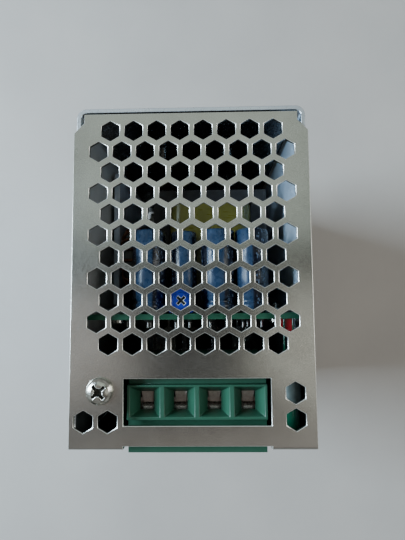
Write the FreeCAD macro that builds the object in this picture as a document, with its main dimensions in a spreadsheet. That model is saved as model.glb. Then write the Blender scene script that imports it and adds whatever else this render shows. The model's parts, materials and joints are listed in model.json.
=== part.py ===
import FreeCAD, Part
import math
import os
import re

import Sketcher

# A metal-cased power supply for a 35 mm rail, in millimetres.
# +Z is up, the front panel with the screws faces -Y, and the rail clip faces +Y.
# The origin is on the bottom end plate, at the middle of the whole width and depth.

doc = FreeCAD.newDocument("rail_supply")
sheet = doc.addObject("Spreadsheet::Sheet", "sizes")

DIMENSIONS = (
    ("front_face", -49.35, "outer face of the front panel"),
    ("case_width", 65.5, "width of the folded end plates"),
    ("case_height", 125.2, "outer face to outer face of the end plates"),
    ("case_depth", 93.7, "front panel to the rear wall"),
    ("gauge", 1.0, "sheet of the chassis"),
    ("cover_gauge", 1.2, "sheet of the wrap cover"),
    ("bend", 0.8, "outer radius of the two folds of the chassis"),
    ("plate_depth", 91.6, "front panel to the rear edge of an end plate"),
    ("corner_step", 2.9, "width of the notch at an end plate's rear corner"),
    ("corner_depth", 2.5, "straight part of that notch"),
    ("cover_width", 64.6, "outer width of the wrap cover"),
    ("cover_gap", 0.1, "wrap cover to front panel"),
    ("cover_bend", 2.8, "outer radius of the wrap cover's corners"),
    ("vent_x", 0.3, "middle of the field of hexagons"),
    ("vent_pitch", 6.5, "hexagon to hexagon along a row"),
    ("vent_row", 5.914, "row to row"),
    ("vent_flats", 5.1, "across the flats"),
    ("vent_middle", 57.1, "front panel to the middle row"),
    ("side_vent_a", -28.9, "left pair of hexagons beside the terminals"),
    ("side_vent_b", -22.4, "left pair of hexagons beside the terminals"),
    ("side_vent_row", 7.3, "front panel to the left pair"),
    ("lamp_x", 27.3, "lamp, and the two hexagons above it"),
    ("lamp_vent_a", 7.7, "front panel to the first hexagon above the lamp"),
    ("lamp_vent_b", 14.6, "front panel to the second one"),
    ("lamp_depth", 7.8, "end plate to the lamp's centre"),
    ("lamp_radius", 2.5, "lamp"),
    ("pole_pitch", 9.5, "terminal to terminal"),
    ("poles_x", 1.2, "middle of both terminal blocks"),
    ("pole_edge", 0.1, "extra width of a block beyond its poles"),
    ("window_margin_left", 0.35, "end plate window beyond the block"),
    ("window_margin_right", 0.6, "end plate window beyond the block"),
    ("window_front", 6.2, "front panel to the window"),
    ("window_rear", 18.4, "front panel to the window's rear edge"),
    ("window_drop", 26.6, "height of the cut-out in the front panel"),
    ("fold_notch", 1.0, "cut-out into the fold of the end plate"),
    ("block_out", 2.4, "terminal block beyond the front panel"),
    ("block_rear", 23.2, "front panel to the block's rear face"),
    ("block_low", 26.2, "end plate to the block's far side"),
    ("shoulder_front", 5.4, "end plate to the block's front shoulder"),
    ("shoulder_rear", 4.9, "end plate to the block's rear shoulder"),
    ("frame_top", 3.0, "end plate to the frame round the wire entries"),
    ("frame_front", 6.9, "front panel to the frame"),
    ("frame_rear", 16.2, "front panel to the frame's rear edge"),
    ("funnel_width", 8.3, "mouth of a wire entry"),
    ("funnel_front", 7.7, "front panel to the mouth"),
    ("funnel_rear", 15.7, "front panel to the mouth's rear edge"),
    ("neck_width", 3.8, "narrow end of a wire entry"),
    ("neck_front", 8.7, "front panel to the narrow end"),
    ("neck_rear", 13.7, "front panel to the narrow end's rear edge"),
    ("neck_depth", 7.5, "end plate to the narrow end"),
    ("cell_half", 3.5, "half width of the chamber behind an entry"),
    ("cell_front", 4.2, "front panel to the chamber"),
    ("cell_rear", 17.9, "front panel to the chamber's rear wall"),
    ("cell_top", 8.0, "end plate to the chamber"),
    ("cell_low", 22.6, "end plate to the chamber's floor"),
    ("screw_depth", 15.7, "end plate to the axis of a terminal screw"),
    ("screw_radius", 1.7, "terminal screw's shank"),
    ("screw_fit", 0.06, "radial clearance of a terminal screw"),
    ("screw_head", 2.6, "terminal screw's head radius"),
    ("head_bore", 2.9, "screwdriver hole"),
    ("head_front", 0.4, "front panel to the screw head's face"),
    ("head_rear", 2.2, "front panel to the shoulder under the head"),
    ("shank_end", 8.15, "front panel to the screw's tip"),
    ("cage_half", 3.2, "half width of a clamp cage"),
    ("cage_wall", 0.8, "side wall of a cage"),
    ("cage_front", 5.7, "front panel to the cage at rest"),
    ("cage_nut", 1.1, "thickness of the cage's threaded wall"),
    ("cage_jaw", 10.2, "front panel to the jaw that presses the wire"),
    ("cage_jaw_wall", 1.2, "thickness of the jaw"),
    ("cage_top", 10.7, "end plate to the cage"),
    ("cage_low", 19.9, "end plate to the cage's far side"),
    ("lip_run", 3.5, "slope of the jaw's guide lip"),
    ("lip_half", 1.8, "half width of the lip's upper edge"),
    ("lip_end", 1.3, "half width of the lip's lower edge"),
    ("lip_top", 8.2, "end plate to the guide lip"),
    ("bar_half", 2.1, "half width of a fixed contact"),
    ("bar_front", 8.4, "front panel to the fixed contact"),
    ("bar_wall", 0.8, "thickness of the fixed contact"),
    ("tongue_half", 1.15, "half width of the fixed contact's tip"),
    ("bar_top", 9.0, "end plate to the fixed contact"),
    ("bar_low", 24.2, "end plate to the contact's foot"),
    ("pin_half", 0.6, "half width of a contact pin"),
    ("board_front", 33.8, "front panel to the circuit board"),
    ("board_wall", 1.6, "thickness of the board"),
    ("board_half", 30.4, "half width of the board"),
    ("board_top", 5.7, "end plate to the board"),
    ("trimmer_x", -3.25, "voltage trimmer"),
    ("trimmer_size", 6.7, "side of the trimmer"),
    ("trimmer_top", 6.0, "end plate to the trimmer"),
    ("trimmer_tall", 5.0, "height of the trimmer"),
    ("rotor_radius", 2.4, "trimmer's rotor"),
    ("rotor_fit", 0.06, "radial clearance of the rotor"),
    ("can_radius", 5.0, "output capacitor"),
    ("can_length", 24.6, "output capacitor"),
    ("can_depth", 12.6, "end plate to the axis of the output capacitors"),
    ("core_x", 5.2, "transformer"),
    ("core_z", 91.0, "transformer"),
    ("core_half", 19.2, "half width of the transformer core"),
    ("core_thick", 7.0, "half thickness of the transformer core"),
    ("core_leg", 5.4, "outer leg and back of the core"),
    ("core_centre", 6.1, "half width of the core's middle leg"),
    ("core_front", 37.7, "front panel to the core"),
    ("core_rear", 77.2, "front panel to the core's rear face"),
    ("coil_half", 13.4, "half width of the winding"),
    ("coil_tall", 14.2, "half height of the winding"),
    ("bulk_radius", 10.8, "input capacitor"),
    ("bulk_length", 36.0, "input capacitor"),
    ("bulk_z", 63.0, "height of the input capacitors"),
    ("cover_screw_x", -24.5, "cover screws"),
    ("cover_screw_y", 15.3, "front panel to the cover screws"),
    ("board_tab_low", 24.0, "lower tabs that hold the board"),
    ("board_tab_top", 92.0, "upper tabs that hold the board"),
    ("rail_z", 62.6, "middle of the rail"),
    ("rail_half", 17.5, "half height of the rail"),
    ("clip_half", 15.0, "half width of the rail clip"),
    ("clip_wall", 2.0, "base of the rail clip"),
    ("clip_top", 96.0, "top of the rail clip"),
    ("clip_low", 18.0, "bottom of the rail clip"),
    ("seat", 98.1, "front panel to the faces that the rail rests on"),
    ("hook_front", 99.5, "front panel to the hook behind the rail's edge"),
    ("hook_rear", 101.1, "front panel to the rearmost face"),
    ("hook_grip", 1.7, "hook over the rail's edge"),
    ("latch_half", 7.9, "half width of the latch"),
    ("latch_front", 95.9, "front panel to the latch"),
    ("latch_wall", 1.6, "thickness of the latch"),
    ("latch_low", 6.5, "lower end of the latch"),
    ("spring_radius", 1.55, "latch spring, to the middle of the wire"),
    ("spring_wire", 0.35, "radius of the spring wire"),
    ("spring_low", 23.0, "spring's fixed end"),
    ("spring_top", 36.0, "spring's moving end"),
    ("spring_coils", 8, "turns of the spring"),
)

ALIASES = set()
for row, (alias, amount, words) in enumerate(DIMENSIONS, start=1):
    sheet.set("A%d" % row, words)
    sheet.set("B%d" % row, str(amount))
    sheet.setAlias("B%d" % row, alias)
    ALIASES.add(alias)
doc.recompute()

parts = []


def size(alias):
    """The value of one cell, for the few shapes that are made in code."""
    return float(sheet.get(alias))


def linked(text):
    """An expression in which every name from the sheet is a link to its cell."""
    return re.sub(r"[a-z_]+", lambda word: "sizes." + word.group()
                  if word.group() in ALIASES else word.group(), str(text))


def deep(distance):
    """A y position, given as a distance behind the front panel's face."""
    return "front_face + (%s)" % distance


def span(start, end):
    """A pair of y positions behind the front panel's face."""
    return deep(start), deep(end)


def about(middle, half):
    """A pair of positions on both sides of a middle."""
    return "%s - (%s)" % (middle, half), "%s + (%s)" % (middle, half)


def level(end, distance):
    """A z position, given as a distance inside the top or the bottom end plate."""
    if end == "top":
        return "case_height - (%s)" % distance
    return "0 + (%s)" % distance


def levels(end, near, far):
    """A pair of z positions in rising order, near and far from one end plate."""
    pair = level(end, near), level(end, far)
    return pair[::-1] if end == "top" else pair


def box(x, y, z):
    """A block between pairs of positions."""
    solid = doc.addObject("Part::Box", "block")
    for side, pair in (("Length", x), ("Width", y), ("Height", z)):
        solid.setExpression(side, linked("(%s) - (%s)" % (pair[1], pair[0])))
    for axis, pair in zip("xyz", (x, y, z)):
        solid.setExpression("Placement.Base." + axis, linked(pair[0]))
    return solid


TURNS = {
    "x": FreeCAD.Rotation(FreeCAD.Vector(0, 1, 0), 90),
    "y": FreeCAD.Rotation(FreeCAD.Vector(1, 0, 0), -90),
    "z": FreeCAD.Rotation(),
}


def stand(solid, place, axis="z"):
    """Puts a solid that is drawn about +Z on another axis, at a place."""
    solid.Placement = FreeCAD.Placement(FreeCAD.Vector(), TURNS[axis])
    for name, position in zip("xyz", place):
        solid.setExpression("Placement.Base." + name, linked(position))
    return solid


def rod(place, radius, length, axis="z"):
    """A cylinder from a place along an axis."""
    solid = doc.addObject("Part::Cylinder", "rod")
    solid.setExpression("Radius", linked(radius))
    solid.setExpression("Height", linked(length))
    return stand(solid, place, axis)


def cone(place, start, end, length, axis="z"):
    """A cone from a place along an axis."""
    solid = doc.addObject("Part::Cone", "cone")
    solid.setExpression("Radius1", linked(start))
    solid.setExpression("Radius2", linked(end))
    solid.setExpression("Height", linked(length))
    return stand(solid, place, axis)


def ring(place, radius, wire, axis="z"):
    """A torus about an axis."""
    solid = doc.addObject("Part::Torus", "ring")
    solid.setExpression("Radius1", linked(radius))
    solid.setExpression("Radius2", linked(wire))
    return stand(solid, place, axis)


def hexagon(place, flats, length, axis="z"):
    """A six-sided bar with a corner towards +Y, across its flats."""
    solid = doc.addObject("Part::Prism", "hexagon")
    solid.Polygon = 6
    solid.setExpression("Circumradius", linked("(%s) / sqrt(3)" % flats))
    solid.setExpression("Height", linked(length))
    stand(solid, place, axis)
    solid.Placement.Rotation = TURNS[axis].multiply(FreeCAD.Rotation(FreeCAD.Vector(0, 0, 1), 90))
    return solid


def group(solids):
    """Several solids as one object; they stay separate."""
    bundle = doc.addObject("Part::Compound", "group")
    bundle.Links = solids
    return bundle


def fuse(solids):
    """Several solids joined into one."""
    joined = doc.addObject("Part::MultiFuse", "joined")
    joined.Shapes = solids
    joined.Refine = True
    return joined


def cut(base, tools):
    """A solid with tools taken out of it."""
    rest = doc.addObject("Part::Cut", "cut")
    rest.Base = base
    rest.Tool = tools[0] if len(tools) == 1 else group(tools)
    return rest


def rounded(base, radius, chosen):
    """A solid with a radius on the edges that a test picks."""
    doc.recompute()
    smooth = doc.addObject("Part::Fillet", "rounded")
    smooth.Base = base
    picked = [number for number, edge in enumerate(base.Shape.Edges, start=1) if chosen(edge)]
    smooth.Edges = [(number, radius, radius) for number in picked]
    return smooth


def runs_along(edge, axis):
    """Whether an edge is straight along one axis."""
    if not isinstance(edge.Curve, Part.Line):
        return False
    return abs(getattr(edge.Curve.Direction, axis)) > 0.999


def sketch(body, plane, outline, offset):
    """A closed outline on one of a body's own planes, with every corner tied to the sheet."""
    drawing = body.newObject("Sketcher::SketchObject", "outline")
    origin_plane = [item for item in body.Origin.OriginFeatures if item.Role == plane][0]
    drawing.AttachmentSupport = [(origin_plane, "")]
    drawing.MapMode = "FlatFace"
    drawing.setExpression("AttachmentOffset.Base.z", linked(offset))
    count = len(outline)
    corners = []
    for across, along in outline:
        corners.append(FreeCAD.Vector(value_of(across), value_of(along), 0))
    for number in range(count):
        line = Part.LineSegment(corners[number], corners[(number + 1) % count])
        drawing.addGeometry(line, False)
    for number in range(count):
        after = (number + 1) % count
        drawing.addConstraint(Sketcher.Constraint("Coincident", number, 2, after, 1))
    for number, corner in enumerate(corners):
        for kind, amount, words in (("DistanceX", corner.x, outline[number][0]),
                                    ("DistanceY", corner.y, outline[number][1])):
            tie = Sketcher.Constraint(kind, -1, 1, number, 1, amount)
            index = drawing.addConstraint(tie)
            drawing.setExpression("Constraints[%d]" % index, linked(words))
    return drawing


def value_of(text):
    """The present value of an expression over the sheet."""
    return float(sheet.evalExpression(linked(text)))


PLANES = {"x": "YZ_Plane", "y": "XZ_Plane", "z": "XY_Plane"}


def extrusion(axis, outline, start, end):
    """A body padded from an outline along one axis, between two positions."""
    body = doc.addObject("PartDesign::Body", "body")
    offset = start
    if axis == "y":
        offset = "0 - (%s)" % end
    drawing = sketch(body, PLANES[axis], outline, offset)
    pad = body.newObject("PartDesign::Pad", "pad")
    pad.Profile = drawing
    pad.setExpression("Length", linked("(%s) - (%s)" % (end, start)))
    return body


def lathe(outline, place, axis="z"):
    """A body turned from an outline of radius and height, then stood on an axis."""
    body = doc.addObject("PartDesign::Body", "turned")
    drawing = sketch(body, "XZ_Plane", outline, "0")
    turn = body.newObject("PartDesign::Revolution", "revolution")
    turn.Profile = drawing
    turn.ReferenceAxis = (drawing, ["V_Axis"])
    turn.Angle = 360
    return stand(body, place, axis)


def keep(label, solid):
    """Names a finished sub-part."""
    solid.Label = label
    parts.append(solid)
    return solid


# ---------------------------------------------------------------- sheet metal

TOP = "case_height"
WINDOW_PARTS = (("top", 4), ("bottom", 3))


def block_edges(poles):
    """Left and right faces of a terminal block."""
    half = "pole_pitch * %d / 2 + pole_edge" % poles
    return about("poles_x", half)


def window_tools(end, poles):
    """The end plate window, the front cut-out and the notch in the fold for one block."""
    left, right = block_edges(poles)
    across = (left + " - window_margin_left", right + " + window_margin_right")
    return [
        box(across, span("window_front", "window_rear"), levels(end, "-1", "gauge + 1")),
        box(across, span("-1", "gauge + 1"), levels(end, "gauge + 0.2", "window_drop")),
        box(across, span("-1", "fold_notch"), levels(end, "-1", "gauge + 0.3")),
    ]


def vent_tools():
    """Eleven rows of eight and nine hexagons through both end plates, and the side ones."""
    tools = []
    through = "case_height + 2"
    for row in range(-5, 6):
        holes = 9 if row % 2 == 0 else 8
        for number in range(holes):
            across = "vent_x + vent_pitch * (%s)" % (number - (holes - 1) / 2.0)
            back = deep("vent_middle + vent_row * (%d)" % row)
            tools.append(hexagon((across, back, "-1"), "vent_flats", through))
    for across, back in (("side_vent_a", "side_vent_row"), ("side_vent_b", "side_vent_row"),
                         ("lamp_x", "lamp_vent_a"), ("lamp_x", "lamp_vent_b")):
        tools.append(hexagon((across, deep(back), "-1"), "vent_flats", through))
    return tools


def corner_tools():
    """The stepped and slanted rear corners of both end plates."""
    tools = []
    for side in (-1, 1):
        outer = "%d * (case_width / 2 + 1)" % side
        edge = "%d * case_width / 2" % side
        inner = "%d * (case_width / 2 - corner_step)" % side
        outline = [
            (inner, deep("plate_depth + 1")),
            (inner, deep("plate_depth - corner_depth")),
            (edge, deep("plate_depth - corner_depth - corner_step")),
            (outer, deep("plate_depth - corner_depth - corner_step")),
            (outer, deep("plate_depth + 1")),
        ]
        tools.append(extrusion("z", outline, "-1", "case_height + 1"))
    return tools


def chassis():
    """Front panel and both end plates, folded from one sheet."""
    inner_top = TOP + " - gauge"
    outline = [
        (deep("0"), "0"), (deep("plate_depth"), "0"), (deep("plate_depth"), "gauge"),
        (deep("gauge"), "gauge"), (deep("gauge"), inner_top),
        (deep("plate_depth"), inner_top), (deep("plate_depth"), TOP), (deep("0"), TOP),
    ]
    folded = extrusion("x", outline, "-case_width / 2", "case_width / 2")
    doc.recompute()
    front = size("front_face")
    folded = rounded(folded, size("bend"), lambda edge: runs_along(edge, "x")
                     and abs(edge.CenterOfMass.y - front) < 0.01)
    tools = vent_tools() + corner_tools()
    for end, poles in WINDOW_PARTS:
        tools += window_tools(end, poles)
    lamp = ("lamp_x", deep("-1"), level("top", "lamp_depth"))
    tools.append(rod(lamp, "lamp_radius + 0.2", "gauge + 2", "y"))
    tools.append(rod(("cover_screw_x", deep("cover_screw_y"), TOP + " - 2"), "1.7", "3"))
    tools.append(cone(("cover_screw_x", deep("cover_screw_y"), "-0.01"), "2.9", "1.75", "1.02"))
    return keep("chassis", cut(folded, tools))


def wrap_cover():
    """Left side, rear wall and right side, folded from one sheet, with its screw tabs."""
    half = "cover_width / 2"
    inside = "(cover_width / 2 - cover_gauge)"
    start = deep("gauge + cover_gap")
    outline = [
        ("0 - " + half, start), ("0 - " + half, deep("case_depth")),
        (half, deep("case_depth")), (half, start), (inside, start),
        (inside, deep("case_depth - cover_gauge")),
        ("0 - " + inside, deep("case_depth - cover_gauge")),
        ("0 - " + inside, start),
    ]
    folded = extrusion("z", outline, "gauge", TOP + " - gauge")
    doc.recompute()
    rear = size("front_face") + size("case_depth")
    folded = rounded(folded, size("cover_bend"), lambda edge: runs_along(edge, "z")
                     and abs(edge.CenterOfMass.y - rear) < 0.01)
    inner_rear = rear - size("cover_gauge")
    inner_bend = size("cover_bend") - size("cover_gauge")
    folded = rounded(folded, inner_bend, lambda edge: runs_along(edge, "z")
                     and abs(edge.CenterOfMass.y - inner_rear) < 0.01)
    tabs = [folded]
    for end in ("top", "bottom"):
        tabs.append(box(("0 - cover_width / 2 + 0.5", "cover_screw_x + 5"),
                        span("cover_screw_y - 5", "cover_screw_y + 5"),
                        levels(end, "gauge", "gauge + 1.4")))
    for side in (-1, 1):
        for height in ("board_tab_low", "board_tab_top"):
            edges = ["%d * (cover_width / 2 - 0.5)" % side, "%d * (cover_width / 2 - 8.2)" % side]
            edges = edges if side < 0 else edges[::-1]
            tabs.append(box(edges, span("board_front + board_wall", "board_front + board_wall + 1.2"),
                            about(height, "4.5")))
    holes = []
    for end in ("top", "bottom"):
        low = levels(end, "gauge - 0.5", "gauge + 2")[0]
        holes.append(rod(("cover_screw_x", deep("cover_screw_y"), low), "1.56", "2.5"))
    for across, height in board_screw_places():
        holes.append(rod((across, deep("board_front"), height), "1.56", "5", "y"))
    for across, height in clip_screw_places():
        holes.append(rod((across, deep("case_depth - 3"), height), "1.56", "4", "y"))
    return keep("wrap_cover", cut(fuse(tabs), holes))


def board_screw_places():
    """The four screws that hold the board to the cover's tabs."""
    return [("%d * 27.6" % side, height) for side in (-1, 1)
            for height in ("board_tab_low", "board_tab_top")]


def clip_screw_places():
    """The four screws of the rail clip."""
    return [("%d * 11.8" % side, height) for side in (-1, 1)
            for height in ("clip_low + 4.5", "clip_top - 4.5")]


def cross_recess(place, reach, depth, half="0.42", turned=0):
    """The cross slot of a screw head, as two tools, turned about the head's axis by an angle."""
    wings = []
    for angle in (turned, turned + 90):
        wing = doc.addObject("Part::Box", "wing")
        wing.setExpression("Length", linked("2 * " + reach))
        wing.setExpression("Width", linked("2 * " + half))
        wing.setExpression("Height", linked(depth))
        along, aside = math.cos(math.radians(angle)), math.sin(math.radians(angle))
        back = "(%s * %.6f - %s * %.6f)" % (reach, along, half, aside)
        side = "(%s * %.6f + %s * %.6f)" % (reach, aside, half, along)
        stand(wing, ["%s - %s" % (place[0], back), "%s - %s" % (place[1], side), place[2]], "z")
        wing.Placement.Rotation = FreeCAD.Rotation(FreeCAD.Vector(0, 0, 1), angle)
        wings.append(wing)
    return wings


def pan_screw(place, length):
    """A cross-head pan screw along Z whose head sits on a face."""
    outline = [("0", "0 - " + length), ("1.5", "0 - " + length), ("1.5", "0"), ("3.55", "0"),
               ("3.55", "0.7"), ("3.3", "1.3"), ("2.8", "1.8"), ("1.9", "2.15"), ("0", "2.3")]
    blank = lathe(outline, place)
    floor = [place[0], place[1], place[2] + " + 0.9"]
    hole = cone(floor, "0.5", "1.2", "1.5")
    return cut(blank, cross_recess(floor, "2.2", "2", "0.42", 40) + [hole])


def cover_screws():
    """The pan screw in the top plate, and the flush one in the bottom plate."""
    keep("top_cover_screw", pan_screw(["cover_screw_x", deep("cover_screw_y"), TOP], "4"))
    outline = [("0", "0.05"), ("2.75", "0.05"), ("1.5", "1.05"), ("1.5", "5"), ("0", "5")]
    place = ["cover_screw_x", deep("cover_screw_y"), "0"]
    blank = lathe(outline, place)
    slot = cross_recess(["cover_screw_x", deep("cover_screw_y"), "-1"], "1.7", "1.8")
    keep("bottom_cover_screw", cut(blank, slot))


# ---------------------------------------------------------------- terminal blocks


def pole_places(poles):
    """The x position of each terminal."""
    return ["poles_x + pole_pitch * (%s)" % (number - (poles - 1) / 2.0) for number in range(poles)]


def funnel(end, across):
    """The tapering wire entry of one terminal."""
    mouth_z = level(end, "frame_top - 0.01")
    neck_z = level(end, "neck_depth")
    loft_faces = []
    for half, pair, height in (("funnel_width / 2", ("funnel_front", "funnel_rear"), mouth_z),
                               ("neck_width / 2", ("neck_front", "neck_rear"), neck_z)):
        left = value_of("%s - %s" % (across, half))
        right = value_of("%s + %s" % (across, half))
        near = value_of(deep(pair[0]))
        far = value_of(deep(pair[1]))
        z = value_of(height)
        corners = [FreeCAD.Vector(left, near, z), FreeCAD.Vector(right, near, z),
                   FreeCAD.Vector(right, far, z), FreeCAD.Vector(left, far, z)]
        loft_faces.append(Part.makePolygon(corners + corners[:1]))
    entry = doc.addObject("Part::Feature", "funnel")
    entry.Shape = Part.makeLoft(loft_faces, True, True)
    return entry


def terminal_housing(end, poles, label):
    """The moulded housing of one terminal block."""
    left, right = block_edges(poles)
    outline = [
        (deep("0 - block_out"), level(end, "block_low")),
        (deep("0 - block_out"), level(end, "shoulder_front")),
        (deep("frame_front"), level(end, "shoulder_front")),
        (deep("frame_front"), level(end, "frame_top")),
        (deep("frame_rear"), level(end, "frame_top")),
        (deep("frame_rear"), level(end, "shoulder_rear")),
        (deep("block_rear"), level(end, "shoulder_rear")),
        (deep("block_rear"), level(end, "block_low")),
    ]
    body = extrusion("x", outline, left, right)
    tools = []
    for across in pole_places(poles):
        axis_z = level(end, "screw_depth")
        tools.append(funnel(end, across))
        tools.append(box(about(across, "neck_width / 2"), span("neck_front", "neck_rear"),
                         levels(end, "neck_depth - 0.2", "cell_top + 0.5")))
        tools.append(box(about(across, "cell_half"), span("cell_front", "cell_rear"),
                         levels(end, "cell_top", "cell_low")))
        tools.append(rod((across, deep("0 - block_out - 1"), axis_z), "head_bore",
                         "block_out + 1 + head_rear", "y"))
        tools.append(rod((across, deep("head_rear - 0.5"), axis_z), "screw_radius + screw_fit",
                         "cell_front - head_rear + 1", "y"))
        tools.append(box(about(across, "bar_half + 0.15"), span("bar_front - 0.15", "block_rear + 1"),
                         levels(end, "cell_low - 0.5", "bar_low + 0.15")))
    return keep(label, cut(body, tools))


def terminal_screw(end, across, label):
    """One captive screw, turned from the front."""
    head = "head_rear - 0.05"
    place = [across, deep("0"), level(end, "screw_depth")]
    outline = [("0", "head_front"), ("screw_head - 0.4", "head_front"),
               ("screw_head", "head_front + 0.4"), ("screw_head", head),
               ("screw_radius", head), ("screw_radius", "shank_end"), ("0", "shank_end")]
    blank = lathe(outline, place, "y")
    axis_z = level(end, "screw_depth")
    slot = box(about(across, "screw_head + 0.5"), span("head_front - 1", "head_front + 1"),
               about(axis_z, "0.4"))
    notch = box(about(across, "0.4"), span("head_front - 1", "head_front + 0.9"),
                about(axis_z, "1.6"))
    return keep(label, cut(blank, [slot, notch]))


def lip_tapers(end, across):
    """Two wedges that narrow a guide lip towards the jaw."""
    wedges = []
    for side in (-1, 1):
        outline = [
            ("%s + %d * lip_half" % (across, side), level(end, "lip_top - 0.5")),
            ("%s + %d * lip_end" % (across, side), level(end, "cage_top")),
            ("%s + %d * cage_half" % (across, side), level(end, "cage_top")),
            ("%s + %d * cage_half" % (across, side), level(end, "lip_top - 0.5")),
        ]
        wedges.append(extrusion("y", outline, *span("cage_jaw - 0.5", "cage_jaw + lip_run + 1.5")))
    return wedges


def terminal_clamp(end, across, label):
    """One clamp cage: threaded wall, two sides, and the jaw with its guide lip."""
    tall = levels(end, "cage_top", "cage_low")
    nut = box(about(across, "cage_half"), span("cage_front", "cage_front + cage_nut"), tall)
    pieces = [nut]
    for side in ("0 - cage_half", "cage_half - cage_wall"):
        edge = "%s + %s" % (across, side)
        pieces.append(box((edge, edge + " + cage_wall"),
                          span("cage_front", "cage_jaw + cage_jaw_wall"), tall))
    lip = [
        (deep("cage_jaw"), level(end, "cage_low")),
        (deep("cage_jaw"), level(end, "cage_top - 0.6")),
        (deep("cage_jaw + lip_run"), level(end, "lip_top")),
        (deep("cage_jaw + lip_run + 0.9"), level(end, "lip_top")),
        (deep("cage_jaw + cage_jaw_wall"), level(end, "cage_top")),
        (deep("cage_jaw + cage_jaw_wall"), level(end, "cage_low")),
    ]
    guide = extrusion("x", lip, "%s - cage_half + cage_wall / 2" % across,
                      "%s + cage_half - cage_wall / 2" % across)
    pieces.append(cut(guide, lip_tapers(end, across)))
    thread = rod((across, deep("cage_front - 1"), level(end, "screw_depth")),
                 "screw_radius + screw_fit", "cage_nut + 2", "y")
    return keep(label, cut(fuse(pieces), [thread]))


def terminal_contacts(end, poles, label):
    """The fixed contacts of one block, with their feet and board pins."""
    contacts = []
    for across in pole_places(poles):
        left, right = about(across, "bar_half")
        outline = [
            (left, level(end, "bar_low")), (left, level(end, "bar_top + 1.2")),
            ("%s - tongue_half" % across, level(end, "bar_top")),
            ("%s + tongue_half" % across, level(end, "bar_top")),
            (right, level(end, "bar_top + 1.2")), (right, level(end, "bar_low")),
        ]
        upright = extrusion("y", outline, *span("bar_front", "bar_front + bar_wall"))
        foot = box(about(across, "bar_half"), span("bar_front", "block_rear + 0.6"),
                   levels(end, "bar_low - bar_wall", "bar_low"))
        pin = box(about(across, "pin_half"), span("block_rear", "board_front + board_wall + 0.4"),
                  levels(end, "bar_low - bar_wall", "bar_low"))
        contacts.append(fuse([upright, foot, pin]))
    return keep(label, group(contacts))


def terminal_blocks():
    """Output terminals at the top, and input terminals at the bottom."""
    for end, poles, name in (("top", 4, "output"), ("bottom", 3, "input")):
        terminal_housing(end, poles, name + "_terminal_housing")
        terminal_contacts(end, poles, name + "_terminal_contacts")
        for number, across in enumerate(pole_places(poles), start=1):
            terminal_screw(end, across, "%s_terminal_screw_%d" % (name, number))
            terminal_clamp(end, across, "%s_terminal_clamp_%d" % (name, number))


# ---------------------------------------------------------------- circuit board


BOARD_BACK = "board_front + board_wall"


def circuit_board():
    """The board, parallel to the front panel, drilled for its screws and terminal pins."""
    plate = box(about("0", "board_half"), span("board_front", BOARD_BACK),
                ("3.5", TOP + " - board_top"))
    holes = []
    for across, height in board_screw_places():
        holes.append(rod((across, deep("board_front - 1"), height), "1.6", "4", "y"))
    for end, poles, _ in (("top", 4, ""), ("bottom", 3, "")):
        for across in pole_places(poles):
            centre = level(end, "bar_low - bar_wall / 2")
            holes.append(rod((across, deep("board_front - 1"), centre), "0.9", "4", "y"))
    keep("circuit_board", cut(plate, holes))
    screws = []
    for across, height in board_screw_places():
        head = rod((across, deep("board_front - 1.9"), height), "2.7", "1.9", "y")
        shank = rod((across, deep("board_front - 0.5"), height), "1.5", "5", "y")
        slot = box(about(across, "1.7"), span("board_front - 3", "board_front - 1"), about(height, "0.4"))
        screws.append(cut(fuse([head, shank]), [slot]))
    keep("board_screws", group(screws))


def trimmer():
    """The square trimmer, adjusted from above, and its turning rotor."""
    middle = "%s + 0.4 + trimmer_size / 2" % BOARD_BACK
    top = level("top", "trimmer_top")
    case = box(about("trimmer_x", "trimmer_size / 2"), about(deep(middle), "trimmer_size / 2"),
               (top + " - trimmer_tall", top))
    well = rod(("trimmer_x", deep(middle), top + " - 1.6"), "rotor_radius + rotor_fit", "3")
    leads = [rod((x, deep(BOARD_BACK), level("top", "trimmer_top + 3.2")), "0.3", "0.6", "y")
             for x in ("trimmer_x - 2.5", "trimmer_x", "trimmer_x + 2.5")]
    keep("trimmer_body", fuse([cut(case, [well])] + leads))
    disc = rod(("trimmer_x", deep(middle), top + " - 1.55"), "rotor_radius", "1.6")
    slots = cross_recess(["trimmer_x", deep(middle), top + " - 0.75"], "1.45", "2", "0.35", 45)
    keep("trimmer_rotor", cut(disc, slots))


OUTPUT_CANS = (("-13.3", "can_radius", "can_depth"), ("-3", "can_radius - 1", "can_depth + 2.4"),
               ("7.5", "can_radius", "can_depth"), ("17.7", "can_radius", "can_depth"))


def can(place, radius, length):
    """One radial capacitor: sleeved can with its crimp groove, and its leads."""
    across, height = place
    base = BOARD_BACK + " + 0.3"
    outline = [("0", "0"), (radius + " - 0.8", "0"), (radius + " - 0.8", "0.5"), (radius, "0.5"),
               (radius, "2.2"), (radius + " - 0.45", "2.7"), (radius + " - 0.45", "3.1"),
               (radius, "3.6"), (radius, length + " - 0.4"), (radius + " - 0.5", length),
               (radius + " - 1.2", length), (radius + " - 1.3", length + " - 0.2"),
               ("0", length + " - 0.2")]
    shell = lathe(outline, (across, deep(base), height), "y")
    leads = [rod((across + shift, deep(BOARD_BACK), height), "0.4", "0.9", "y")
             for shift in (" - 2.5", " + 2.5")]
    return fuse([shell] + leads)


def capacitors():
    """Four output capacitors at the top and two large input ones below."""
    for number, (across, radius, depth) in enumerate(OUTPUT_CANS, start=1):
        keep("output_capacitor_%d" % number, can((across, level("top", depth)), radius, "can_length"))
    pair = [can((across, "bulk_z"), "bulk_radius", "bulk_length") for across in ("-11.2", "11.6")]
    keep("input_capacitors", group(pair))


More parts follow.
